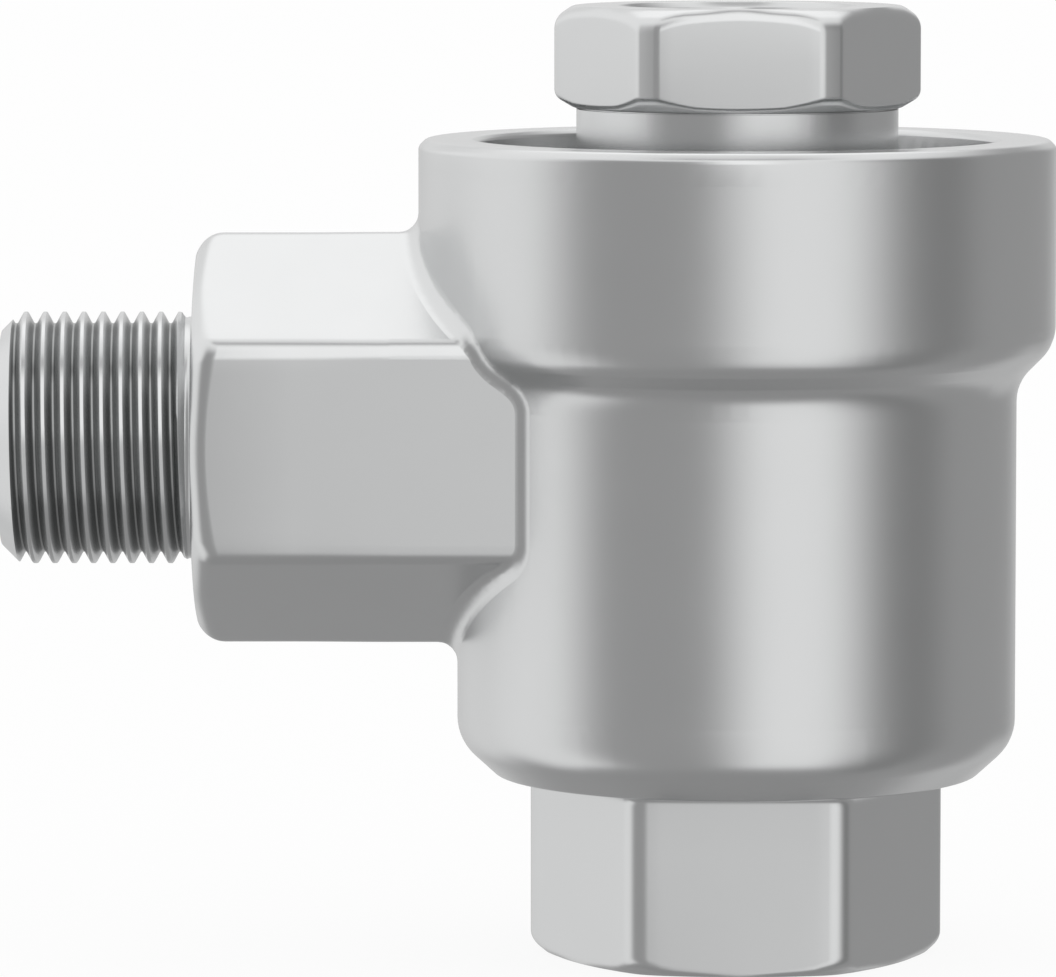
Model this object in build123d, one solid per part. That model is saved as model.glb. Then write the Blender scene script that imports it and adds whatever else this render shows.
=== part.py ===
from build123d import *
import os
from math import radians, sqrt, tan

# Quick exhaust valve. Millimetres, +Z up.
# The origin is on the valve axis, in the end face of the exhaust hexagon.
# Supply enters the hexagon fitting at the top, the cylinder is on the threaded
# stub that points to -X, and the exhaust leaves through the hexagon at the bottom.
# Threads are plain cylinders: an outside port thread at its crest, an inside port
# thread at its bore, and the screwed joint inside the collar at its pitch line.

# Port thread, G 3/8
port_major_d = 16.662
port_minor_d = 14.95
port_depth = 12.0
port_mouth_bevel = 0.4

# Body casting, outside
body_d = 37.0
collar_d = 42.1
exhaust_hex_af = 24.0
exhaust_hex_h = 12.1
base_bevel = 2.35
shoulder_z = 38.05
rim_z = 54.1
rim_bevel = 0.5
cast_round = 3.0
round_share = 0.45
hex_edge_round = 1.5
hex_bevel_angle = 30.0
body_hex_bevel_share = 0.96
top_hex_bevel_share = 0.985

# Cylinder port on the side of the casting
side_axis_z = 34.3
side_hex_af = 24.0
side_hex_x = 36.0
side_root_round = 1.3
stub_length = 12.6
stub_bevel = 0.85
side_bore_d = 11.5

# Body casting, inside
chamber_d = 29.6
chamber_floor_z = 18.0
chamber_bevel = 1.0
nozzle_ledge_z = 14.0
recess_d = 34.4
recess_depth = 3.8
recess_bevel = 0.3

# Screwed joint between the fitting and the collar
joint_pitch_d = 33.0
joint_length = 4.5
spigot_d = 30.4
spigot_length = 3.0
lead_in = 0.4

# Supply fitting
top_hex_af = 21.4
top_hex_h = 6.5
neck_d = 21.25
neck_length = 6.1
flange_bevel = 0.5
inlet_bore_d = 11.5
inlet_seat_width = 1.25
inlet_seat_h = 0.8
guide_bore_d = 23.2
skirt_wall = 1.6
skirt_length = 4.0

# Square ring seal in the spigot's groove
ring_section = 1.3
ring_groove_width = 1.9

# Exhaust nozzle, pressed into the chamber floor
nozzle_bore_d = 13.6
nozzle_wall = 1.4
nozzle_seat_width = 0.9
nozzle_flange_d = 20.0
nozzle_flange_h = 2.0
nozzle_spigot_d = 17.2
seat_above_skirt = 0.1

# Shuttle
travel = 3.1
lip_thickness = 1.5
lip_height = 1.9
lip_tip_width = 0.7
lip_crown_bevel = 1.2
seal_disc_thickness = 1.6
support_thickness = 0.8
seal_disc_d = 17.6
washer_d = 9.2
washer_thickness = 0.8
screw_d = 4.0
screw_head_d = 7.0
screw_head_h = 2.4
screw_socket_af = 2.5
screw_socket_depth = 1.4
screw_grip = 6.0
guide_hub_d = 6.4
guide_foot_d = 8.8
guide_foot_h = 1.4
guide_length = 9.0
wing_count = 4
wing_thickness = 1.3
wing_bevel = 0.6
wing_angle = 45.0

# Clearances
thread_clearance = 0.03
spigot_clearance = 0.05
ring_clearance = 0.01
press_clearance = 0.0
wing_clearance = 0.10
lip_clearance = 0.15
screw_clearance = 0.10
seat_clearance = 0.02

# Two points closer than this are the same point
same_place = 0.001

# How far two forms of one piece run into each other before they are joined
bury = 1.0

# Heights and radii that follow
port_minor_r = port_minor_d / 2
port_major_r = port_major_d / 2
body_r = body_d / 2
collar_r = collar_d / 2
neck_r = neck_d / 2
chamber_r = chamber_d / 2
joint_r = joint_pitch_d / 2
spigot_r = spigot_d / 2
guide_bore_r = guide_bore_d / 2
inlet_bore_r = inlet_bore_d / 2
nozzle_bore_r = nozzle_bore_d / 2
nozzle_r = nozzle_bore_r + nozzle_wall
flange_top_z = rim_z - recess_depth
joint_floor_z = flange_top_z - joint_length
spigot_end_z = joint_floor_z - spigot_length
skirt_end_z = spigot_end_z - skirt_length
top_hex_z = flange_top_z + neck_length
top_z = top_hex_z + top_hex_h
supply_floor_z = top_z - port_depth

# A short shoulder limits its own rounds, and they limit the root round that crosses them
shoulder_slope = (collar_r - body_r) * sqrt(2)
shoulder_round = min(cast_round, round_share * shoulder_slope / tan(radians(45 / 2)))
root_round = min(side_root_round, shoulder_round)

# The shuttle rests on the exhaust nozzle, its travel below the inlet seat
exhaust_seat_z = skirt_end_z + seat_above_skirt
seal_disc_z = exhaust_seat_z + seat_clearance
support_z = seal_disc_z + seal_disc_thickness
lip_z = support_z + support_thickness
washer_z = lip_z + lip_thickness
inlet_seat_z = washer_z + travel + seat_clearance
guide_roof_z = inlet_seat_z + inlet_seat_h
screw_seat_z = washer_z + washer_thickness


def section(corners):
    """A flat half section in the XZ plane, given as (radius, height) corners."""
    return make_face(Polyline(*[(r, 0, z) for r, z in corners], close=True)).face()


def turned(corners):
    """A solid turned about Z from a half section."""
    return revolve(section(corners), Axis.Z)


def rounded(face, corners, radius):
    """The same half section with some of its corners rounded."""
    points = [Vector(r, 0, z) for r, z in corners]
    chosen = [min(face.vertices(), key=lambda v: (v.center() - point).length) for point in points]
    return face.fillet_2d(radius, chosen)


def hexagon_bar(across_flats, length):
    """A hexagon bar along +Z from z 0, its corners on X, its long edges rounded."""
    outline = RegularPolygon(across_flats / 2, 6, major_radius=False)
    bar = extrude(outline, length)
    return fillet(bar.edges().filter_by(Axis.Z), hex_edge_round)


def bevel_envelope(across_flats, length, share, low, high):
    """What a hexagon bar keeps when its low or high end is turned to a bevel."""
    flat_r = across_flats / 2 * share
    out_r = across_flats / sqrt(3) + bury
    drop = (out_r - flat_r) * tan(radians(hex_bevel_angle))
    corners = [(0, 0)]
    corners += [(flat_r, 0), (out_r, drop)] if low else [(out_r, 0)]
    corners += [(out_r, length - drop), (flat_r, length)] if high else [(out_r, length)]
    corners += [(0, length)]
    return turned(corners)


def bevelled_hexagon(across_flats, length, share, low=False, high=False):
    """A hexagon bar with a turned bevel at one end or both."""
    return hexagon_bar(across_flats, length) & bevel_envelope(across_flats, length, share, low, high)


def meeting_edges(joined, first, second):
    """The edges along which two solids meet: the middle of each lies on both."""
    middles = [(edge, edge @ 0.5) for edge in joined.edges()]
    return [edge for edge, mid in middles if first.distance_to(mid) + second.distance_to(mid) < same_place]


def body_outside():
    """The turned outside of the casting, from the base face to the rim."""
    waist = (body_r, shoulder_z)
    shoulder = (collar_r, shoulder_z + collar_r - body_r)
    half = section([
        (0, exhaust_hex_h), (body_r - base_bevel, exhaust_hex_h), (body_r, exhaust_hex_h + base_bevel),
        waist, shoulder, (collar_r, rim_z - rim_bevel), (collar_r - rim_bevel, rim_z), (0, rim_z)])
    return revolve(rounded(half, [waist, shoulder], shoulder_round), Axis.Z)


def side_boss():
    """The hexagon of the cylinder port, its open end in the valve axis."""
    bar = bevelled_hexagon(side_hex_af, side_hex_x, body_hex_bevel_share, high=True)
    return Pos(0, 0, side_axis_z) * Rot(0, -90, 0) * bar


def stub():
    """The outside thread of the cylinder port at its crest, with a bevelled nose."""
    nose_r = port_major_r - stub_bevel
    length = side_hex_x + stub_length
    bar = turned([
        (0, 0), (port_major_r, 0), (port_major_r, length - stub_bevel), (nose_r, length), (0, length)])
    return Pos(0, 0, side_axis_z) * Rot(0, -90, 0) * bar


def body_inside():
    """Exhaust port, nozzle seat, chamber, joint bore and the open recess at the top."""
    mouth_r = port_minor_r + port_mouth_bevel
    return turned([
        (0, 0), (mouth_r, 0), (port_minor_r, port_mouth_bevel), (port_minor_r, port_depth),
        (nozzle_bore_r, port_depth), (nozzle_bore_r, nozzle_ledge_z),
        (nozzle_spigot_d / 2, nozzle_ledge_z), (nozzle_spigot_d / 2, chamber_floor_z),
        (chamber_r - chamber_bevel, chamber_floor_z), (chamber_r, chamber_floor_z + chamber_bevel),
        (chamber_r, spigot_end_z - lead_in), (spigot_r + spigot_clearance, spigot_end_z),
        (spigot_r + spigot_clearance, joint_floor_z), (joint_r + thread_clearance, joint_floor_z),
        (joint_r + thread_clearance, flange_top_z), (recess_d / 2, flange_top_z),
        (recess_d / 2, rim_z - recess_bevel), (recess_d / 2 + recess_bevel, rim_z), (0, rim_z)])


def valve_body():
    """The casting: turned body and collar, exhaust hexagon, cylinder port and the cavities."""
    hexagon = bevelled_hexagon(exhaust_hex_af, exhaust_hex_h + bury, body_hex_bevel_share, low=True)
    outside = body_outside() + hexagon
    boss = side_boss()
    joined = outside + boss
    solid = fillet(meeting_edges(joined, outside, boss), root_round) + stub()
    bore = Pos(0, 0, side_axis_z) * Rot(0, -90, 0) * Cylinder(
        side_bore_d / 2, side_hex_x + stub_length, align=(Align.CENTER, Align.CENTER, Align.MIN))
    return solid - body_inside() - bore


def supply_fitting():
    """Hexagon, neck, screwed flange, sealed spigot, inlet seat and the skirt that guides the lip."""
    groove_mid_z = (joint_floor_z + spigot_end_z) / 2
    groove_low = groove_mid_z - ring_groove_width / 2
    groove_high = groove_mid_z + ring_groove_width / 2
    groove_r = spigot_r + spigot_clearance - ring_section
    skirt_r = guide_bore_r + skirt_wall
    seat_r = inlet_bore_r + inlet_seat_width
    mouth_r = port_minor_r + port_mouth_bevel
    turned_part = turned([
        (inlet_bore_r, inlet_seat_z), (seat_r, inlet_seat_z), (seat_r, guide_roof_z),
        (guide_bore_r, guide_roof_z), (guide_bore_r, skirt_end_z), (skirt_r, skirt_end_z),
        (skirt_r, spigot_end_z), (spigot_r, spigot_end_z), (spigot_r, groove_low),
        (groove_r, groove_low), (groove_r, groove_high), (spigot_r, groove_high),
        (spigot_r, joint_floor_z), (joint_r, joint_floor_z), (joint_r, flange_top_z - flange_bevel),
        (joint_r - flange_bevel, flange_top_z), (neck_r, flange_top_z), (neck_r, top_hex_z + bury),
        (port_minor_r, top_hex_z + bury), (port_minor_r, supply_floor_z), (inlet_bore_r, supply_floor_z)])
    port = turned([
        (0, supply_floor_z), (port_minor_r, supply_floor_z), (port_minor_r, top_z - port_mouth_bevel),
        (mouth_r, top_z), (0, top_z)])
    hexagon = bevelled_hexagon(top_hex_af, top_hex_h, top_hex_bevel_share, low=True, high=True)
    return turned_part + (Pos(0, 0, top_hex_z) * hexagon - port)


def fitting_ring_seal():
    """The ring seal in the spigot's groove."""
    outer_r = spigot_r + spigot_clearance - ring_clearance
    inner_r = spigot_r + spigot_clearance - ring_section + ring_clearance
    mid_z = (joint_floor_z + spigot_end_z) / 2
    low_z = mid_z - ring_section / 2
    high_z = mid_z + ring_section / 2
    return turned([(inner_r, low_z), (outer_r, low_z), (outer_r, high_z), (inner_r, high_z)])


def exhaust_nozzle():
    """The tube that carries the exhaust seat, flanged on the chamber floor."""
    seat_r = nozzle_bore_r + nozzle_seat_width
    taper = nozzle_r - seat_r
    return turned([
        (nozzle_bore_r, nozzle_ledge_z), (nozzle_spigot_d / 2 - press_clearance, nozzle_ledge_z),
        (nozzle_spigot_d / 2 - press_clearance, chamber_floor_z), (nozzle_flange_d / 2, chamber_floor_z),
        (nozzle_flange_d / 2, chamber_floor_z + nozzle_flange_h),
        (nozzle_r, chamber_floor_z + nozzle_flange_h), (nozzle_r, exhaust_seat_z - 2 * taper),
        (seat_r, exhaust_seat_z), (nozzle_bore_r, exhaust_seat_z)])


def lip_seal():
    """The rubber cup: a flat crown that meets the inlet seat and a lip that wipes the guide bore."""
    hole_r = screw_d / 2 + screw_clearance
    lip_r = guide_bore_r - lip_clearance
    crown_r = lip_r - lip_crown_bevel
    tip_z = lip_z - lip_height
    inner_r = lip_r - lip_thickness - lip_tip_width
    return turned([
        (hole_r, lip_z), (inner_r, lip_z), (lip_r - lip_tip_width, tip_z), (lip_r, tip_z),
        (lip_r, tip_z + lip_height / 2), (crown_r, lip_z + lip_thickness),
        (hole_r, lip_z + lip_thickness)])


def flat_ring(outer_d, thickness, z):
    """A disc on the shuttle's screw."""
    hole_r = screw_d / 2 + screw_clearance
    return turned([(hole_r, z), (outer_d / 2, z), (outer_d / 2, z + thickness), (hole_r, z + thickness)])


def shuttle_screw():
    """Socket-head screw that clamps the shuttle's stack to its guide."""
    end_z = seal_disc_z - screw_grip
    head_z = screw_seat_z + screw_head_h
    screw = turned([
        (0, end_z), (screw_d / 2, end_z), (screw_d / 2, screw_seat_z),
        (screw_head_d / 2, screw_seat_z), (screw_head_d / 2, head_z), (0, head_z)])
    socket = extrude(RegularPolygon(screw_socket_af / 2, 6, major_radius=False), screw_socket_depth)
    return screw - Pos(0, 0, head_z - screw_socket_depth) * socket


def shuttle_guide():
    """The guide below the exhaust disc, with wings that slide in the nozzle."""
    top_z = seal_disc_z
    low_z = top_z - guide_length
    hub = turned([
        (0, low_z), (guide_hub_d / 2, low_z), (guide_hub_d / 2, top_z - guide_foot_h),
        (guide_foot_d / 2, top_z), (0, top_z)])
    wing_r = nozzle_bore_r - wing_clearance
    wing_top_z = top_z - guide_foot_h
    blade = section([
        (0, low_z), (wing_r - wing_bevel, low_z), (wing_r, low_z + wing_bevel),
        (wing_r, wing_top_z), (0, wing_top_z)])
    wing = extrude(blade, wing_thickness / 2, both=True)
    solid = hub
    for n in range(wing_count):
        solid += Rot(0, 0, wing_angle + n * 360 / wing_count) * wing
    hole = Pos(0, 0, top_z) * Cylinder(
        screw_d / 2, screw_grip, align=(Align.CENTER, Align.CENTER, Align.MAX))
    return solid - hole


parts = {
    "valve_body": valve_body(),
    "supply_fitting": supply_fitting(),
    "fitting_ring_seal": fitting_ring_seal(),
    "exhaust_nozzle": exhaust_nozzle(),
    "lip_seal": lip_seal(),
    "support_disc": flat_ring(seal_disc_d, support_thickness, support_z),
    "exhaust_seal_disc": flat_ring(seal_disc_d, seal_disc_thickness, seal_disc_z),
    "clamp_washer": flat_ring(washer_d, washer_thickness, washer_z),
    "shuttle_screw": shuttle_screw(),
    "shuttle_guide": shuttle_guide(),
}

os.makedirs("parts", exist_ok=True)
for name, shape in parts.items():
    export_step(shape, f"parts/{name}.step")
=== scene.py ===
import math
from collections import namedtuple

import bmesh
import bpy
import numpy as np
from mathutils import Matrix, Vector


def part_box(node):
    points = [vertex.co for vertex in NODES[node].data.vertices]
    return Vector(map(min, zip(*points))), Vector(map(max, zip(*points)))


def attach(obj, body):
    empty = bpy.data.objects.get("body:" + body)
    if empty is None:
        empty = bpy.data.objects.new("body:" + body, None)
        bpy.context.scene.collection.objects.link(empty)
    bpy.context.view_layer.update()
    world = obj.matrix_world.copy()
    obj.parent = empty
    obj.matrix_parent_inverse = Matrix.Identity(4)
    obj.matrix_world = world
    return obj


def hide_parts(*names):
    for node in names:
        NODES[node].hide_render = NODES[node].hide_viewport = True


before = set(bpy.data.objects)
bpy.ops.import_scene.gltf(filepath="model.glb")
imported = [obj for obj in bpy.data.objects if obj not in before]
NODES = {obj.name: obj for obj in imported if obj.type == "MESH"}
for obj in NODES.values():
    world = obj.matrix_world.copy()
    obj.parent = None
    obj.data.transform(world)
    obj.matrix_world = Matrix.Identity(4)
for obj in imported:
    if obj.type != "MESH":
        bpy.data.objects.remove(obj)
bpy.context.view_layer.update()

MM = 0.001


def box_edge(node, end, axis):
    """Where a CAD node begins (end 0) or ends (end 1) along an axis, in millimetres."""
    return round(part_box(node)[end][axis] / MM, 3)


# Sizes in millimetres, as the CAD model has them. The valve axis is z, and the side port's is parallel to x
STUB_END = -box_edge("valve_body", 0, 0)
COLLAR_R = box_edge("valve_body", 1, 0)
RIM_Z = box_edge("valve_body", 1, 2)
TOP_Z = box_edge("supply_fitting", 1, 2)
RIM_BEVEL = 0.5
RECESS_R = 17.2
RECESS_BEVEL = 0.3
BODY_R = 18.5
SIDE_Z = 34.3
SIDE_BORE_R = 5.75
THREAD_R = 16.662 / 2
PORT_R = 14.95 / 2
PORT_DEPTH = 12.0
MOUTH_BEVEL = 0.4
NECK_R = 10.625
FLANGE_Z = 50.3
SUPPLY_FLOOR_Z = 50.9
CAD_HEX_EDGE = 1.5

# Places read from the photo more finely than the CAD holds them: the side hexagon's end, the top
# hexagon's underside, and the foot of the turned body with its bevel and the root of the base hexagon
SIDE_END = 35.76
UNDERSIDE_Z = 56.17
FOOT_Z = 12.0
FOOT_BEVEL_H = 2.33
FOOT_BEVEL_R = 2.56
FOOT_ROUND = 3.2
FOOT_EDGE_ROUND = 0.6
FOOT_FILLET = 0.9

# Long edges of the hexagons. An edge bends over a length bend before its corner, filled out by fullness.
# One with a facet is cut flat that far from its corner, and bends over a length bend at the cut's edges
Sides = namedtuple("Sides", "across_flats bend fullness facet")
SIDE_HEX = Sides(24.0, 0.96, 0.6, 0)
BASE_HEX = Sides(24.1, 1.11, 0.65, 0)
TOP_HEX = Sides(21.66, 0.28, 0, 0.86)
SIXTH = math.radians(60)

# How far the hexagons on the valve axis are turned, read from their front edges in the photo
BASE_TURN = math.radians(-0.6)
TOP_TURN = math.radians(-0.65)

# Ends of the hexagons. An end is bevelled from flat_r outward, and a ball rolls round its edges.
# Its radius soft and the radius rim of the end face are given at a flat's centre and at a corner
End = namedtuple("End", "flat_r bevel soft rim")
SIDE_HEX_END = End(12.15, math.radians(30), (1.1, 1.8), (11.4, 11.9))
BASE_HEX_END = End(12.4, math.radians(33), (0.42, 1.1), (11.93, 12.5))
TOP_HEX_END = End(10.80, math.radians(32.6), (0.75, 1.3), (10.5, 10.6))
UNDER_RIM_R = NECK_R + 0.015
UNDER_HEX_END = End(10.80, math.radians(30), (0.42, 0.8), (UNDER_RIM_R, UNDER_RIM_R))
END_FLAT_R = 10.3
TOP_FLAT_R = 9.3
BASE_MID_Z = 8.0

# An end's radii are drawn out to its rim by a power of their depth. It is the share DRAW of the power
# at which the outline would fold back, and at most DRAW_MOST
DRAW = 0.95
DRAW_MOST = 3.0
DRAW_LEAST_GAP = 0.01

# The stub: its root at the side hexagon, its shank and its nose
ROOT_R = 9.6
ROOT_ROUND = 0.4
ROOT_LENGTH = 0.45
SHANK_R = THREAD_R - 0.33
NOSE_R = 7.11
NOSE_ROUND = 0.12
NOSE_FACE_R = 6.3
BORE_BEVEL = 0.3

# Threads, between low and high on their axis. A crest passes height phase at angle 0
Thread = namedtuple("Thread", "low high pitch phase depth")
STUB_THREAD = Thread(low=36.25, high=48.5, pitch=1.276, phase=47.02, depth=0.76)
STUB_RUN_OUT = 0.5
PORT_PITCH = 1.337
PORT_PHASE = 0.3
PORT_THREAD_DEPTH = 0.8
PORT_FADE_LOW = 0.8
PORT_FADE_HIGH = 1.2

# The ports' mouths, and the plain walls at the ends of their threads
MOUTH_ROUND = 0.12
MOUTH_LAND = 0.15
FLOOR_LAND = 0.6
SUPPLY_MOUTH_DEPTH = 1.6
SUPPLY_MOUTH_FLARE = 0.1

# The collar's rim, with its points this many degrees apart
RIM_ROUND = 0.5
RECESS_ROUND = 0.3
RIM_STEP = 2.0

# The fitting's neck, and the narrow groove that parts it from the hexagon
NECK_FOOT = 0.4
NECK_MID_Z = 54.0
GROOVE_H = 0.09
GROOVE_DEPTH = 0.3
GROOVE_SLOPE = 0.01

# Where the CAD's meshes are cut, to take finer ends. Each new end begins a seam away from the cut, and
# triangles close the seam. The side hexagon changes over from the CAD's edges to its own by SIDE_BLEND_END
SIDE_CUT = -22.8
SIDE_BLEND_END = -29.0
BASE_CUT = 17.0
RIM_CUT = 52.0
WALL_CUT = 51.6
SEAM = 0.1

# Radii that tell a hexagon's outside from the port inside it
OUTER_FROM = 11.0
INNER_TO = 12.0

# How near, in millimetres, a point lies to a place or wall that it belongs to, and to a thread's end
# that it joins
NEAR = 0.001
NEAR_WALL = 0.02
NEAR_THREAD_END = 0.03

# Points nearer to each other than this, in metres, become one
WELD = 1e-6
FINE_WELD = 1e-7

# Numbers of points: on half a hexagon's flat and on its bend, on a hexagon's end (outer arc, bevel and
# inner arc), on the arcs of the other outlines, and of the rings in which the side hexagon changes over
FLAT_STEPS = 7
BEND_STEPS = 6
END_STEPS = (7, 3, 4)
ROOT_STEPS = 4
NOSE_STEPS = 3
MOUTH_STEPS = 3
FOOT_STEPS = 7
RIM_STEPS = 5
SIDE_BLEND_RINGS = 9

# Turns by which a thread is made too long at each end before it is cut off
SPARE_TURNS = 2

# Edges sharper than this show as edges, and a corner keeps its CAD normal if it holds this much of it
SHARP = math.radians(35)
KEPT_NORMAL = 0.2

# Material slots of the two dressed pieces
MAIN_SLOT = 0
STUB_SLOT = 1


# Outlines
def soft_path(corners, steps):
    """A path through (r, h, radius) corners, each corner with a radius turned into an arc of steps."""
    points = [np.array(corners[0][:2], float)]
    for before, corner, after in zip(corners, corners[1:], corners[2:]):
        here = np.array(corner[:2], float)
        radius = corner[2]
        if radius == 0:
            points.append(here)
            continue
        back = np.array(before[:2], float) - here
        on = np.array(after[:2], float) - here
        back /= np.linalg.norm(back)
        on /= np.linalg.norm(on)
        half = math.acos(np.clip(back @ on, -1, 1)) / 2
        leg = radius / math.tan(half)
        middle = here + (back + on) / np.linalg.norm(back + on) * radius / math.sin(half)
        first = here + back * leg - middle
        last = here + on * leg - middle
        turn = math.atan2(first[0] * last[1] - first[1] * last[0], first @ last)
        for k in range(steps + 1):
            c, s = math.cos(turn * k / steps), math.sin(turn * k / steps)
            points.append(middle + np.array([c * first[0] - s * first[1], s * first[0] + c * first[1]]))
    points.append(np.array(corners[-1][:2], float))
    return points


def hex_columns(shape):
    """(angle, radius) pairs round a soft hexagon whose corners are at 0, 60, ... degrees."""
    a = shape.across_flats / 2
    corner = np.array([a, a * math.tan(SIXTH / 2)])
    start = corner - np.array([0, shape.bend])
    end = corner + shape.bend * np.array([-math.sin(SIXTH), math.cos(SIXTH)])
    first = start + shape.fullness * (corner - start)
    second = end + shape.fullness * (corner - end)
    bend = []
    for t in np.linspace(0, 0.5, BEND_STEPS + 1):
        u = 1 - t
        bend.append(u ** 3 * start + 3 * u * u * t * first + 3 * u * t * t * second + t ** 3 * end)
    if shape.facet:
        edge = corner - np.array([0, shape.facet])
        along = np.array([-math.sin(SIXTH / 2), math.cos(SIXTH / 2)])
        start = edge - np.array([0, shape.bend])
        end = edge + along * shape.bend
        middle = edge + along * shape.facet * math.cos(SIXTH / 2)
        steps = np.linspace(0, 1, BEND_STEPS)
        bend = [(1 - t) ** 2 * start + 2 * (1 - t) * t * edge + t * t * end for t in steps] + [middle]
    points = [np.array([a, y]) for y in np.linspace(0, start[1], FLAT_STEPS, endpoint=False)] + bend
    half = [(math.atan2(y, x), math.hypot(x, y)) for x, y in points]
    sector = [(-angle, r) for angle, r in half[:0:-1]] + half[:-1]
    return [(SIXTH * (n + 0.5) + angle, r) for n in range(6) for angle, r in sector]


def cad_hex_radius(across_flats, angle):
    """Distance from the axis to the side of the CAD's hexagon, whose long edges are arcs."""
    a = across_flats / 2
    off = abs(angle % SIXTH - SIXTH / 2)
    if math.tan(off) * a <= (a - CAD_HEX_EDGE) * math.tan(SIXTH / 2):
        return a / math.cos(off)
    middle = (a - CAD_HEX_EDGE) / math.cos(SIXTH / 2)
    d = SIXTH / 2 - off
    return middle * math.cos(d) + math.sqrt(CAD_HEX_EDGE ** 2 - (middle * math.sin(d)) ** 2)


def soft_end(sides, end, side_r):
    """A bevelled end as (r, h) points from the side to the end face, h counted from the end face."""
    outer, straight, inner = END_STEPS
    corner_r = max(r for angle, r in hex_columns(sides))
    share = (side_r - sides.across_flats / 2) / (corner_r - sides.across_flats / 2)
    soft = end.soft[0] + (end.soft[1] - end.soft[0]) * share
    rim = end.rim[0] + (end.rim[1] - end.rim[0]) * share
    c, s = math.cos(end.bevel), math.sin(end.bevel)
    upper = np.array([side_r - soft, (soft + s * (side_r - soft - end.flat_r)) / c])
    lower = np.array([end.flat_r - soft * (1 - c) / s, soft])
    if upper[1] < soft:
        # The side lies inside the bevel here, and the ball rolls straight onto the end face
        upper = lower = np.array([side_r - soft, soft])
    turn = math.pi / 2 - end.bevel

    def arc(middle, a):
        return middle + soft * np.array([math.cos(a), -math.sin(a)])

    points = [arc(upper, turn * k / outer) for k in range(outer + 1)]
    a, b = arc(upper, turn), arc(lower, turn)
    points += [a + (b - a) * k / straight for k in range(1, straight)]
    points += [arc(lower, turn + end.bevel * k / inner) for k in range(inner + 1)]

    length = side_r - points[-1][0]
    gap = rim - points[-1][0]
    power = min(DRAW_MOST, max(1.0, DRAW * length / max(gap, DRAW_LEAST_GAP)))
    return [(r + gap * (max(0.0, side_r - r) / length) ** power, h) for r, h in points]


def clamp(value):
    """The value, kept between 0 and 1."""
    return min(1.0, max(0.0, value))


# Places
def side_place(r, angle, h):
    """A point round the side port's axis, h from its hexagon's end face into the body."""
    return Vector((h - SIDE_END, r * math.sin(angle), SIDE_Z + r * math.cos(angle))) * MM


def stub_place(r, angle, w):
    """A point round the side port's axis, w from the valve axis."""
    return side_place(r, angle, SIDE_END - w)


def side_angle(co):
    return math.atan2(co.y, co.z - SIDE_Z * MM)


def side_reach(co):
    """Distance from the side port's axis in millimetres."""
    return math.hypot(co.y, co.z - SIDE_Z * MM) / MM


def axis_place(r, angle, h):
    """A point round the valve axis, h above the base face."""
    return Vector((r * math.cos(angle), r * math.sin(angle), h)) * MM


def axis_angle(co):
    return math.atan2(co.y, co.x)


def reach(co):
    """Distance from the valve axis in millimetres."""
    return math.hypot(co.x, co.y) / MM


def height(co):
    return co.z / MM


def along_x(co):
    return co.x / MM


# Mesh tools
def cad_copy(node):
    """The node's mesh as an editable copy, welded, with its CAD normals kept on its corners."""
    source = NODES[node].data
    normals = np.zeros(len(source.loops) * 3, np.float32)
    source.corner_normals.foreach_get("vector", normals)
    plain = bpy.data.meshes.new("copy")
    plain.from_pydata([v.co[:] for v in source.vertices], [], [p.vertices[:] for p in source.polygons])
    bm = bmesh.new()
    bm.from_mesh(plain)
    bpy.data.meshes.remove(plain)
    bm.verts.layers.float.new("groove")
    layer = bm.loops.layers.float_vector.new("cad_normal")
    corner = 0
    for face in bm.faces:
        for loop in face.loops:
            loop[layer] = Vector(normals[corner * 3:corner * 3 + 3])
            corner += 1
    bmesh.ops.remove_doubles(bm, verts=bm.verts, dist=WELD)
    bmesh.ops.dissolve_degenerate(bm, edges=bm.edges, dist=FINE_WELD)
    return bm


def span(face, measure):
    """Least and greatest value of a measure over a face's points."""
    values = [measure(v.co) for v in face.verts]
    return min(values), max(values)


def cut(bm, faces, point, normal):
    """Cuts some faces along a plane through a point given in millimetres."""
    geom = {v for f in faces for v in f.verts} | {e for f in faces for e in f.edges} | set(faces)
    bmesh.ops.bisect_plane(
        bm, geom=list(geom), plane_co=Vector(point) * MM, plane_no=normal, dist=FINE_WELD)


def drop(bm, test):
    """Deletes the faces that pass the test, which is given the face and its middle in millimetres."""
    gone = [f for f in bm.faces if test(f, f.calc_center_median() / MM)]
    bmesh.ops.delete(bm, geom=gone, context="FACES")


def open_loop(bm, test):
    """The points of the open edge loop whose points, in millimetres, all pass the test."""
    edges = [e for e in bm.edges if len(e.link_faces) == 1 and all(test(v.co / MM) for v in e.verts)]
    found = {v for e in edges for v in e.verts}
    ends = [v for v in found if sum(v in e.verts for e in edges) != 2]
    if not edges or ends:
        raise ValueError("no closed open loop here")
    return list(found)


def zip_loops(bm, first, second, angle, material=MAIN_SLOT):
    """Closes the ring between two loops with triangles."""
    a = sorted(first, key=lambda v: angle(v.co))
    b = sorted(second, key=lambda v: angle(v.co))
    ta = [angle(v.co) for v in a]
    tb = [angle(v.co) for v in b]
    a.append(a[0])
    b.append(b[0])
    ta.append(ta[0] + 2 * math.pi)
    tb.append(tb[0] + 2 * math.pi)
    i = j = 0
    while i < len(a) - 1 or j < len(b) - 1:
        if j == len(b) - 1 or (i < len(a) - 1 and ta[i + 1] <= tb[j + 1]):
            made = bm.faces.new((a[i], a[i + 1], b[j]))
            i += 1
        else:
            made = bm.faces.new((a[i], b[j + 1], b[j]))
            j += 1
        made.material_index = material


def rings(bm, paths, angles, place):
    """Rings of points: paths holds one (r, h) path for each angle."""
    return [[bm.verts.new(place(paths[i][k][0], angle, paths[i][k][1])) for i, angle in enumerate(angles)]
            for k in range(len(paths[0]))]


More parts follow.
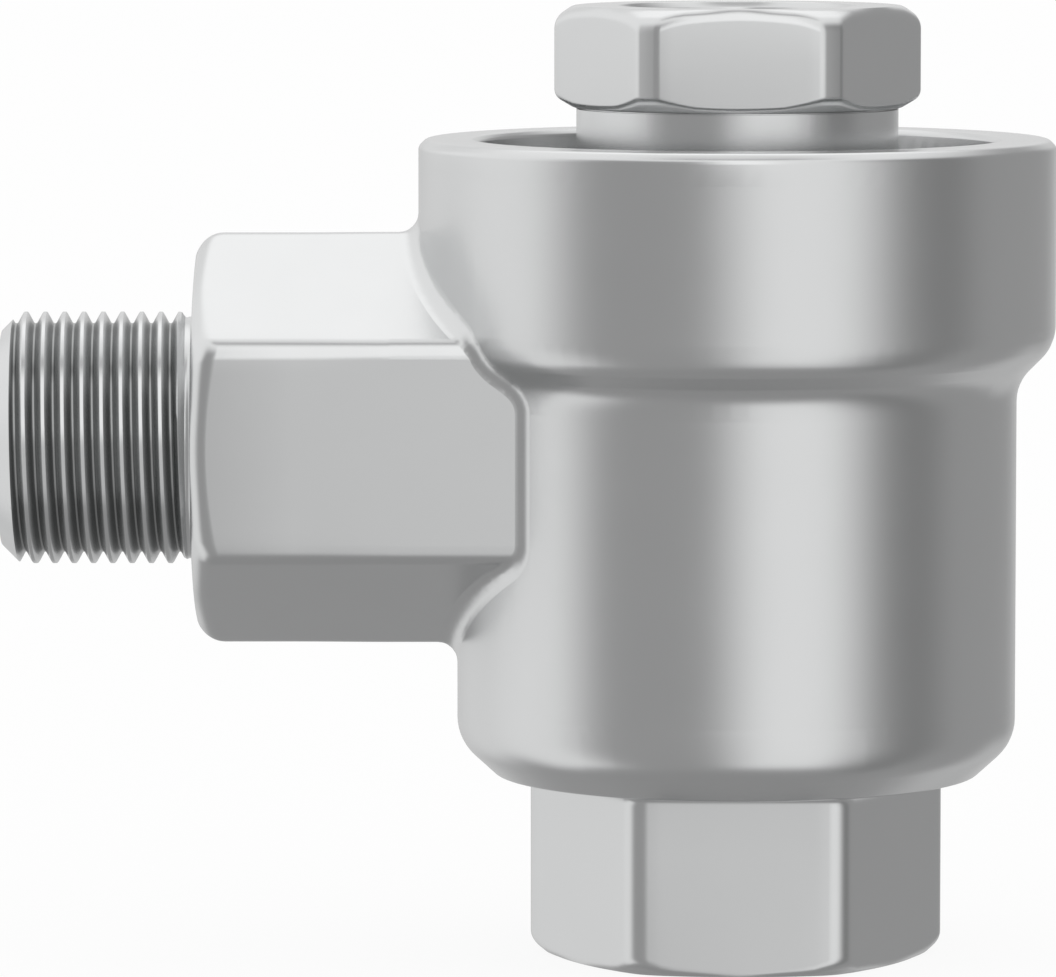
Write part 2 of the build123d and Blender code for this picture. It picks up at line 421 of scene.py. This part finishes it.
def skin(bm, rows, material=MAIN_SLOT):
    """Quads between rings that follow each other."""
    for lower, upper in zip(rows, rows[1:]):
        for i in range(len(lower)):
            k = (i + 1) % len(lower)
            bm.faces.new((lower[i], lower[k], upper[k], upper[i])).material_index = material


# One pitch of a thread: (share of the pitch, share of the depth)
THREAD_SHAPE = [(-0.135, 0.10), (-0.085, 0.0), (0.085, 0.0), (0.135, 0.10), (0.27, 0.51), (0.40, 0.92),
                (0.455, 1.0), (0.545, 1.0), (0.60, 0.92), (0.73, 0.51)]


def snap(column, cone):
    """Cuts a (h, r) profile along a cone, moving the nearer point of each crossing onto it."""
    over = [r - cone(h) for h, r in column]
    kept = [(h, min(r, cone(h))) for h, r in column]
    for n in range(len(column) - 1):
        if over[n] * over[n + 1] < 0:
            share = over[n] / (over[n] - over[n + 1])
            h = column[n][0] + (column[n + 1][0] - column[n][0]) * share
            kept[n if share < 0.5 else n + 1] = (h, cone(h))
    return kept


def thread(bm, angles, place, shape, radius, end_radii, material, cone=None):
    """A right-handed thread. radius(height, share of the depth) gives its surface, and cone(height) what
    cuts it off. The layer groove holds how deep each point lies. Returns the rings at its two ends."""
    groove = bm.verts.layers.float["groove"]
    count = len(THREAD_SHAPE)
    first = math.floor((shape.low - shape.phase) / shape.pitch) - SPARE_TURNS
    turns = math.ceil((shape.high - shape.low) / shape.pitch) + 2 * SPARE_TURNS
    low_ring = [bm.verts.new(place(end_radii[0], a, shape.low)) for a in angles]
    high_ring = [bm.verts.new(place(end_radii[1], a, shape.high)) for a in angles]
    columns = []
    for i, angle in enumerate(angles):
        turned = (angle % (2 * math.pi)) / (2 * math.pi)
        profile = []
        for row in range(turns * count):
            along, share = THREAD_SHAPE[row % count]
            h = shape.phase + shape.pitch * (first + row // count + along + turned)
            profile.append((h, radius(h, share)))
        depths = [abs(radius(h, 0) - r) / shape.depth for h, r in profile]
        if cone:
            profile = snap(profile, cone)
        column = []
        for (h, r), deep in zip(profile, depths):
            if h < shape.low + NEAR_THREAD_END:
                column.append(low_ring[i])
            elif h > shape.high - NEAR_THREAD_END:
                column.append(high_ring[i])
            else:
                point = bm.verts.new(place(r, angle, h))
                point[groove] = deep if not cone or r < cone(h) - NEAR else 0
                column.append(point)
        columns.append(column)
    for i in range(len(angles)):
        k = (i + 1) % len(angles)
        here, there = columns[i], columns[k]
        # Where the angle passes a full turn, the next column's rows lie a pitch further on
        shift = count if angles[k] % (2 * math.pi) < angles[i] % (2 * math.pi) else 0
        for row in range(turns * count - 1 - shift):
            four = [here[row], there[row + shift], there[row + shift + 1], here[row + 1]]
            corners = [v for n, v in enumerate(four) if v is not four[n - 1]]
            if len(set(corners)) > 2:
                bm.faces.new(corners).material_index = material
    return low_ring, high_ring


def finish_mesh(bm, name, materials, node):
    """Turns the work mesh into the piece that stands for a CAD node."""
    bmesh.ops.remove_doubles(bm, verts=bm.verts, dist=FINE_WELD)
    bmesh.ops.recalc_face_normals(bm, faces=bm.faces)
    mesh = bpy.data.meshes.new(name)
    bm.to_mesh(mesh)
    bm.free()
    mesh.polygons.foreach_set("use_smooth", [True] * len(mesh.polygons))
    mesh.set_sharp_from_angle(angle=SHARP)
    kept = mesh.attributes["cad_normal"]
    normals = np.zeros(len(mesh.loops) * 3, np.float32)
    kept.data.foreach_get("vector", normals)
    mesh.attributes.remove(kept)
    normals = normals.reshape(-1, 3)
    length = np.linalg.norm(normals, axis=1, keepdims=True)
    # A zero normal leaves a corner to Blender's own
    normals = np.where(length > KEPT_NORMAL, normals / np.maximum(length, KEPT_NORMAL), 0.0)
    mesh.normals_split_custom_set([tuple(n) for n in normals])
    for made in materials:
        mesh.materials.append(made)
    piece = bpy.data.objects.new(name, mesh)
    bpy.context.scene.collection.objects.link(piece)
    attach(piece, "housing")
    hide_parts(node)
    return piece


# Node tools
def put(tree, value, socket):
    """Links an output to a socket, or sets the socket to a value."""
    if isinstance(value, bpy.types.NodeSocket):
        tree.links.new(value, socket)
    else:
        socket.default_value = value


def calculate(tree, operation, *values):
    """A Math node on numbers or outputs."""
    node = tree.nodes.new("ShaderNodeMath")
    node.operation = operation
    for value, socket in zip(values, node.inputs):
        put(tree, value, socket)
    return node.outputs[0]


def soft_step(tree, value, start, end):
    """0 at start and 1 at end, smooth between them."""
    node = tree.nodes.new("ShaderNodeMapRange")
    node.interpolation_type = "SMOOTHSTEP"
    node.inputs["From Min"].default_value = start
    node.inputs["From Max"].default_value = end
    tree.links.new(value, node.inputs["Value"])
    return node.outputs["Result"]


def blend(tree, share, below, above):
    """A mix of two levels. A mix node's sockets share their names, so they are taken by place."""
    node = tree.nodes.new("ShaderNodeMix")
    tree.links.new(share, node.inputs[0])
    put(tree, below, node.inputs[2])
    put(tree, above, node.inputs[3])
    return node.outputs[0]


def tint(tree, share, dark, light):
    """A mix of two colours. Each may be an output."""
    node = tree.nodes.new("ShaderNodeMix")
    node.data_type = "RGBA"
    tree.links.new(share, node.inputs[0])
    for colour, socket in (dark, node.inputs[6]), (light, node.inputs[7]):
        put(tree, colour if isinstance(colour, bpy.types.NodeSocket) else (*colour, 1), socket)
    return node.outputs[2]


# Noise in object space. Its scale is in cells for each metre
Noise = namedtuple("Noise", "scale detail rough", defaults=(0.5,))


def noise(tree, kind):
    where = tree.nodes.new("ShaderNodeTexCoord")
    node = tree.nodes.new("ShaderNodeTexNoise")
    node.inputs["Scale"].default_value = kind.scale
    node.inputs["Detail"].default_value = kind.detail
    node.inputs["Roughness"].default_value = kind.rough
    tree.links.new(where.outputs["Object"], node.inputs["Vector"])
    return node.outputs["Fac"]


def spread(tree, value, low, high, target):
    """Maps a 0 to 1 value onto low to high and links it."""
    node = tree.nodes.new("ShaderNodeMapRange")
    node.inputs["To Min"].default_value = low
    node.inputs["To Max"].default_value = high
    tree.links.new(value, node.inputs["Value"])
    tree.links.new(node.outputs["Result"], target)


def bump(tree, value, distance, target):
    node = tree.nodes.new("ShaderNodeBump")
    node.inputs["Strength"].default_value = 1.0
    node.inputs["Distance"].default_value = distance
    tree.links.new(value, node.inputs["Height"])
    tree.links.new(node.outputs["Normal"], target)


def material(name, build):
    made = bpy.data.materials.new(name)
    made.use_nodes = True
    tree = made.node_tree
    tree.nodes.clear()
    out = tree.nodes.new("ShaderNodeOutputMaterial")
    shader = tree.nodes.new("ShaderNodeBsdfPrincipled")
    tree.links.new(shader.outputs["BSDF"], out.inputs["Surface"])
    build(tree, shader)
    return made


# Materials. A finish has clouds between two colours, a roughness that the noise polish varies, and a
# grain of a height in metres
Finish = namedtuple("Finish", "metallic dark light clouds rough polish grain height")
CAST_STEEL = Finish(
    metallic=1, dark=(0.630, 0.636, 0.638), light=(0.650, 0.656, 0.658), clouds=Noise(160, 4),
    rough=(0.232, 0.268), polish=Noise(420, 3), grain=Noise(5000, 3, 0.6), height=0.0000012)
TURNED_STEEL = CAST_STEEL._replace(
    rough=(0.227, 0.263), grain=Noise(7000, 3, 0.6), height=0.0000006)
BLACK_RUBBER = Finish(
    metallic=0, dark=(0.012, 0.012, 0.012), light=(0.022, 0.022, 0.021), clouds=Noise(900, 4),
    rough=(0.50, 0.62), polish=Noise(1500, 3), grain=Noise(6000, 2), height=0.000008)
WHITE_PLASTIC = Finish(
    metallic=0, dark=(0.74, 0.73, 0.69), light=(0.80, 0.79, 0.76), clouds=Noise(500, 3),
    rough=(0.36, 0.46), polish=Noise(1200, 3), grain=Noise(3500, 2), height=0.000004)

# Painted shade in the thread grooves: from one depth share the base colour begins to darken towards this
# grey, and by the other it is this grey
GROOVE_PAINTED_SHADE = (0.30, 0.305, 0.305)
GROOVE_SHADE_FROM = 0.02
GROOVE_SHADE_BY = 0.75


def finished(look, grooves=False):
    """The nodes of a finish, with painted shade darkening the thread grooves if the piece has any."""
    def build(tree, shader):
        shader.inputs["Metallic"].default_value = look.metallic
        colour = tint(tree, noise(tree, look.clouds), look.dark, look.light)
        if grooves:
            # Painted shade: the base colour darkens with each point's depth in a thread groove
            groove = tree.nodes.new("ShaderNodeAttribute")
            groove.attribute_name = "groove"
            painted_shade = soft_step(tree, groove.outputs["Fac"], GROOVE_SHADE_FROM, GROOVE_SHADE_BY)
            colour = tint(tree, painted_shade, colour, GROOVE_PAINTED_SHADE)
        tree.links.new(colour, shader.inputs["Base Color"])
        spread(tree, noise(tree, look.polish), *look.rough, shader.inputs["Roughness"])
        bump(tree, noise(tree, look.grain), look.height, shader.inputs["Normal"])
    return build


# Both steels darken their thread grooves with painted shade
CAST = material("cast_steel", finished(CAST_STEEL, True))
TURNED = material("turned_steel", finished(TURNED_STEEL, True))
RUBBER = material("seal_rubber", finished(BLACK_RUBBER))
PLASTIC = material("guide_plastic", finished(WHITE_PLASTIC))


# The casting
def stub_radius(w, share):
    """The stub's thread, w from the valve axis, running out at its root."""
    fade = clamp((w - STUB_THREAD.low) / STUB_RUN_OUT)
    crest = SHANK_R + (THREAD_R - SHANK_R) * fade
    return crest - STUB_THREAD.depth * share * fade


def nose_cone(w):
    """The bevel at the stub's nose."""
    return NOSE_R + STUB_END - w


def side_port(bm):
    """The end of the side hexagon with the threaded stub."""
    columns = hex_columns(SIDE_HEX)
    angles = [angle for angle, r in columns]

    def bore_wall(face):
        low, high = span(face, side_reach)
        return low > SIDE_BORE_R - NEAR_WALL and high < SIDE_BORE_R + NEAR_WALL

    end = [f for f in bm.faces if not bore_wall(f) and span(f, along_x)[0] < SIDE_CUT]
    cut(bm, end, (SIDE_CUT, 0, 0), (1, 0, 0))
    drop(bm, lambda f, c: c.x < SIDE_CUT and not bore_wall(f))
    mouth = open_loop(bm, lambda co: abs(co.x + STUB_END) < NEAR)
    for v in mouth:
        v.co.x = -(STUB_END - BORE_BEVEL) * MM
    flats = open_loop(bm, lambda co: abs(co.x - SIDE_CUT) < NEAR and side_reach(co * MM) > OUTER_FROM)

    root = soft_path([(ROOT_R, 0, 0), (SHANK_R, 0, ROOT_ROUND), (SHANK_R, -ROOT_LENGTH, 0)], ROOT_STEPS)
    paths = []
    for angle, r in columns:
        cad_r = cad_hex_radius(SIDE_HEX.across_flats, angle)
        path = []
        for share in np.linspace(0, 1, SIDE_BLEND_RINGS):
            x = SIDE_CUT - SEAM + (SIDE_BLEND_END - SIDE_CUT) * share
            soft = share * share * (3 - 2 * share)
            path.append((cad_r + (r - cad_r) * soft, x + SIDE_END))
        path += soft_end(SIDE_HEX, SIDE_HEX_END, r)
        path.append((END_FLAT_R, 0.0))
        paths.append(path + root)
    rows = rings(bm, paths, angles, side_place)
    root_row = len(rows) - len(root)
    skin(bm, rows[:root_row + 1])
    skin(bm, rows[root_row:], STUB_SLOT)
    zip_loops(bm, rows[0], flats, side_angle)

    nose_edge = nose_cone(STUB_THREAD.high)
    low, high = thread(bm, angles, stub_place, STUB_THREAD, stub_radius, (SHANK_R, nose_edge),
                       STUB_SLOT, nose_cone)
    skin(bm, [rows[-1], low], STUB_SLOT)
    nose = soft_path([
        (nose_edge, STUB_THREAD.high, 0), (NOSE_R, STUB_END, NOSE_ROUND),
        (NOSE_FACE_R, STUB_END, 0)], NOSE_STEPS)
    nose.append((SIDE_BORE_R + BORE_BEVEL, STUB_END))
    nose_rows = rings(bm, [nose[1:]] * len(angles), angles, stub_place)
    skin(bm, [high] + nose_rows, STUB_SLOT)
    zip_loops(bm, nose_rows[-1], mouth, side_angle, STUB_SLOT)


def port_thread(bm, angles, low, high):
    """A port's inside thread on the valve axis, its depth fading out at both ends."""
    shape = Thread(low, high, PORT_PITCH, PORT_PHASE, PORT_THREAD_DEPTH)

    def radius(h, share):
        fade = clamp((h - low) / PORT_FADE_LOW) * clamp((high - h) / PORT_FADE_HIGH)
        return PORT_R + PORT_THREAD_DEPTH * share * fade

    return thread(bm, angles, axis_place, shape, radius, (PORT_R, PORT_R), MAIN_SLOT)


def exhaust_end(bm):
    """The base of the body with the exhaust hexagon and its threaded port."""
    columns = hex_columns(BASE_HEX)
    angles = [angle + BASE_TURN for angle, r in columns]
    outer = [f for f in bm.faces if span(f, reach)[0] > OUTER_FROM and span(f, height)[0] < BASE_CUT]
    cut(bm, outer, (0, 0, BASE_CUT), (0, 0, 1))
    drop(bm, lambda f, c: c.z < BASE_CUT and span(f, reach)[0] > OUTER_FROM)
    drop(bm, lambda f, c: c.z < PORT_DEPTH - SEAM and span(f, reach)[1] < INNER_TO)
    wall = open_loop(bm, lambda co: abs(co.z - BASE_CUT) < NEAR and math.hypot(co.x, co.y) > RECESS_R)
    floor = open_loop(bm, lambda co: abs(co.z - PORT_DEPTH) < NEAR)

    mouth_end = MOUTH_BEVEL + MOUTH_LAND
    mouth = soft_path([
        (END_FLAT_R, 0, 0), (PORT_R + MOUTH_BEVEL, 0, MOUTH_ROUND), (PORT_R, MOUTH_BEVEL, MOUTH_ROUND),
        (PORT_R, mouth_end, 0)], MOUTH_STEPS)
    paths = []
    for angle, r in columns:
        path = soft_path([
            (BODY_R, BASE_CUT - SEAM, 0), (BODY_R, FOOT_Z + FOOT_BEVEL_H, FOOT_ROUND),
            (BODY_R - FOOT_BEVEL_R, FOOT_Z, FOOT_EDGE_ROUND), (r, FOOT_Z, FOOT_FILLET),
            (r, BASE_MID_Z, 0)], FOOT_STEPS)
        paths.append(path + soft_end(BASE_HEX, BASE_HEX_END, r) + mouth)
    rows = rings(bm, paths, angles, axis_place)
    skin(bm, rows)
    zip_loops(bm, rows[0], wall, axis_angle)
    low, high = port_thread(bm, angles, mouth_end, PORT_DEPTH - FLOOR_LAND)
    skin(bm, [rows[-1], low])
    last = rings(bm, [[(PORT_R, PORT_DEPTH - SEAM)]] * len(angles), angles, axis_place)
    skin(bm, [high] + last)
    zip_loops(bm, last[-1], floor, axis_angle)


def collar_rim(bm):
    """The soft rim of the collar and of its recess."""
    collar = [f for f in bm.faces if span(f, reach)[0] > BODY_R and span(f, height)[1] > RIM_CUT]
    cut(bm, collar, (0, 0, RIM_CUT), (0, 0, 1))
    recess = [f for f in bm.faces
              if abs(span(f, reach)[1] - RECESS_R) < NEAR_WALL and span(f, height)[1] > WALL_CUT]
    cut(bm, recess, (0, 0, WALL_CUT), (0, 0, 1))
    drop(bm, lambda f, c: c.z > RIM_CUT or (c.z > WALL_CUT and span(f, reach)[1] < BODY_R))
    outside = open_loop(bm, lambda co: abs(co.z - RIM_CUT) < NEAR)
    inside = open_loop(bm, lambda co: abs(co.z - WALL_CUT) < NEAR)
    angles = np.radians(np.arange(-180, 180, RIM_STEP))
    rim = soft_path([
        (COLLAR_R, RIM_CUT + SEAM, 0), (COLLAR_R, RIM_Z - RIM_BEVEL, RIM_ROUND),
        (COLLAR_R - RIM_BEVEL, RIM_Z, RIM_ROUND), (RECESS_R + RECESS_BEVEL, RIM_Z, RECESS_ROUND),
        (RECESS_R, RIM_Z - RECESS_BEVEL, RECESS_ROUND), (RECESS_R, WALL_CUT + SEAM, 0)], RIM_STEPS)
    rows = rings(bm, [rim] * len(angles), angles, axis_place)
    skin(bm, rows)
    zip_loops(bm, rows[0], outside, axis_angle)
    zip_loops(bm, rows[-1], inside, axis_angle)


def casting():
    bm = cad_copy("valve_body")
    side_port(bm)
    exhaust_end(bm)
    collar_rim(bm)
    return finish_mesh(bm, "body_casting", [CAST, TURNED], "valve_body")


# The supply fitting
def fitting():
    bm = cad_copy("supply_fitting")
    columns = hex_columns(TOP_HEX)
    angles = [angle + TOP_TURN for angle, r in columns]
    drop(bm, lambda f, c: c.z > SUPPLY_FLOOR_Z + SEAM / 2)

    def ring_at(radius, level):
        return open_loop(bm, lambda co: (abs(math.hypot(co.x, co.y) - radius) < NEAR_WALL
                                         and abs(co.z - level) < NEAR))

    foot = ring_at(NECK_R, FLANGE_Z)
    floor = ring_at(PORT_R, SUPPLY_FLOOR_Z)
    groove_z = UNDERSIDE_Z - GROOVE_H
    mouth_start = TOP_Z - SUPPLY_MOUTH_DEPTH
    neck = [(NECK_R, FLANGE_Z + NECK_FOOT), (NECK_R, NECK_MID_Z), (NECK_R, groove_z),
            (NECK_R - GROOVE_DEPTH, groove_z + GROOVE_SLOPE), (NECK_R - GROOVE_DEPTH, UNDERSIDE_Z)]
    mouth = soft_path([
        (TOP_FLAT_R, TOP_Z, 0), (PORT_R + MOUTH_BEVEL, TOP_Z, MOUTH_ROUND),
        (PORT_R + SUPPLY_MOUTH_FLARE, TOP_Z - MOUTH_BEVEL, MOUTH_ROUND),
        (PORT_R, mouth_start, 0)], MOUTH_STEPS)
    paths = []
    for angle, r in columns:
        under = [(end_r, UNDERSIDE_Z + h) for end_r, h in reversed(soft_end(TOP_HEX, UNDER_HEX_END, r))]
        top = [(end_r, TOP_Z - h) for end_r, h in soft_end(TOP_HEX, TOP_HEX_END, r)]
        paths.append(neck + under + [(r, (UNDERSIDE_Z + TOP_Z) / 2)] + top + mouth)
    rows = rings(bm, paths, angles, axis_place)
    skin(bm, rows)
    zip_loops(bm, rows[0], foot, axis_angle)
    low, high = port_thread(bm, angles, SUPPLY_FLOOR_Z + FLOOR_LAND, mouth_start)
    skin(bm, [rows[-1], high])
    last = rings(bm, [[(PORT_R, SUPPLY_FLOOR_Z + SEAM)]] * len(angles), angles, axis_place)
    skin(bm, [low] + last)
    zip_loops(bm, last[-1], floor, axis_angle)
    return finish_mesh(bm, "fitting_turned", [TURNED], "supply_fitting")


casting()
fitting()

# The inner pieces keep their CAD shapes
for node, finish in {
    "exhaust_nozzle": TURNED, "support_disc": TURNED, "clamp_washer": TURNED, "shuttle_screw": TURNED,
    "fitting_ring_seal": RUBBER, "lip_seal": RUBBER, "exhaust_seal_disc": RUBBER, "shuttle_guide": PLASTIC,
}.items():
    for slot in NODES[node].material_slots:
        slot.material = finish

# The floor, in metres
FLOOR_SIZE = 40
FLOOR_DARK = (0.89, 0.89, 0.89)
FLOOR_LIGHT = (0.91, 0.91, 0.91)
FLOOR_CLOUDS = Noise(3, 2)
FLOOR_ROUGH = 0.9
FLOOR_WHITE = 0.9


def floor_paint(tree, shader):
    """A pale floor that the camera sees nearly white, with a light shadow."""
    pale = tint(tree, noise(tree, FLOOR_CLOUDS), FLOOR_DARK, FLOOR_LIGHT)
    tree.links.new(pale, shader.inputs["Base Color"])
    shader.inputs["Roughness"].default_value = FLOOR_ROUGH
    shader.inputs["Specular IOR Level"].default_value = 0.0
    path = tree.nodes.new("ShaderNodeLightPath")
    seen = calculate(tree, "MAXIMUM", path.outputs["Is Camera Ray"], path.outputs["Is Glossy Ray"])
    seen = calculate(tree, "MAXIMUM", seen, path.outputs["Is Transmission Ray"])
    white = tree.nodes.new("ShaderNodeEmission")
    mix = tree.nodes.new("ShaderNodeMixShader")
    tree.links.new(calculate(tree, "MULTIPLY", seen, FLOOR_WHITE), mix.inputs[0])
    tree.links.new(shader.outputs[0], mix.inputs[1])
    tree.links.new(white.outputs[0], mix.inputs[2])
    tree.links.new(mix.outputs[0], tree.nodes["Material Output"].inputs["Surface"])


def floor_plane():
    mesh = bpy.data.meshes.new("floor")
    h = FLOOR_SIZE / 2
    mesh.from_pydata([(-h, -h, 0), (h, -h, 0), (h, h, 0), (-h, h, 0)], [], [(0, 1, 2, 3)])
    mesh.materials.append(material("floor_white", floor_paint))
    made = bpy.data.objects.new("floor", mesh)
    bpy.context.scene.collection.objects.link(made)
    # The metal mirrors the dim lower half of the studio below instead, as the photo's metal does
    made.visible_glossy = False


floor_plane()

# The studio that the metal mirrors. Azimuth 0 is behind the camera and 90 to its right, in degrees.
# Each card covers azimuth +- half from elevation low to high, with edges as soft as soft and fade
Card = namedtuple("Card", "azimuth half soft low high fade level")
ALL_ROUND = 400
ZENITH = 90
ROOM = 0.40
CARDS = {
    "back wall": Card(194, 36, 16, -26, ZENITH, 10, 0.70),
    "left box, rear part": Card(-124, 28, 16, -34, ZENITH, 10, 0.88),
    "left box, front part": Card(-92, 24, 16, -51, ZENITH, 6, 1.00),
    "left gap": Card(-36, 13, 12, -70, 30, 14, 0.41),
    "right box": Card(23.5, 25.5, 16, -53, ZENITH, 10, 1.05),
    "left lift": Card(-115, 42, 20, 4, ZENITH, 10, 1.10),
    "back lift": Card(-172, 30, 14, 8, ZENITH, 8, 0.90),
    "right gap": Card(77, 13, 11, -70, 45, 12, 0.27),
    "low patch": Card(147, 12, 8, -48, -15, 6, 0.62),
    "ceiling": Card(0, ALL_ROUND, 10, 44, ZENITH, 16, 1.10),
    "rear ceiling": Card(180, 46, 14, 44, 73, 7, 1.36),
    "front card": Card(0, 11, 6, 5, 66, 7, 1.38),
    "front gap above": Card(0, 75, 20, 69, 82, 5, 0.45),
    "floor": Card(0, ALL_ROUND, 10, -91, -60, 9, 0.37),
}
STUDIO_STRENGTH = 1.01


def add_card(tree, below, azimuth, elevation, card):
    """Lays one card over the studio so far."""
    off = calculate(tree, "SUBTRACT", azimuth, card.azimuth)
    off = calculate(tree, "ABSOLUTE", calculate(tree, "WRAP", off, 180, -180))
    share = soft_step(tree, off, card.half + card.soft, card.half - card.soft)
    rise = soft_step(tree, elevation, card.low - card.fade, card.low + card.fade)
    share = calculate(tree, "MULTIPLY", share, rise)
    if card.high < ZENITH:
        fall = soft_step(tree, elevation, card.high + card.fade, card.high - card.fade)
        share = calculate(tree, "MULTIPLY", share, fall)
    return blend(tree, share, below, card.level)


def studio():
    """A world that lights evenly in white, and that metal mirrors as a studio of soft cards."""
    world = bpy.data.worlds.new("studio")
    world.use_nodes = True
    tree = world.node_tree
    tree.nodes.clear()
    where = tree.nodes.new("ShaderNodeTexCoord")
    axes = tree.nodes.new("ShaderNodeSeparateXYZ")
    tree.links.new(where.outputs["Generated"], axes.inputs[0])
    toward = calculate(tree, "MULTIPLY", axes.outputs["Y"], -1)
    azimuth = calculate(tree, "DEGREES", calculate(tree, "ARCTAN2", axes.outputs["X"], toward))
    elevation = calculate(tree, "DEGREES", calculate(tree, "ARCSINE", axes.outputs["Z"]))
    level = ROOM
    for card in CARDS.values():
        level = add_card(tree, level, azimuth, elevation, card)
    path = tree.nodes.new("ShaderNodeLightPath")
    strength = calculate(tree, "MULTIPLY", level, STUDIO_STRENGTH)
    sky = tree.nodes.new("ShaderNodeBackground")
    sky.inputs["Color"].default_value = (1, 1, 1, 1)
    tree.links.new(blend(tree, path.outputs["Is Glossy Ray"], 1.0, strength), sky.inputs["Strength"])
    out = tree.nodes.new("ShaderNodeOutputWorld")
    tree.links.new(sky.outputs[0], out.inputs["Surface"])
    return world


bpy.context.scene.world = studio()

# The camera, fitted to the photo's circles. Places and distance are in metres, lens and sensor in
# millimetres
TARGET = Vector((-0.013814, 0, 0.0309))
DISTANCE = 0.5305
TILT = math.radians(5.183)
SENSOR = 36
LENS = 272.906
FARTHEST = 100
camera = bpy.data.objects.new("camera", bpy.data.cameras.new("camera"))
bpy.context.scene.collection.objects.link(camera)
camera.location = TARGET + Vector((0, -math.cos(TILT), math.sin(TILT))) * DISTANCE
camera.rotation_euler = (math.pi / 2 - TILT, 0, 0)
camera.data.sensor_width = SENSOR
camera.data.lens = LENS
camera.data.clip_end = FARTHEST
bpy.context.scene.camera = camera
bpy.context.scene.view_settings.view_transform = "Standard"
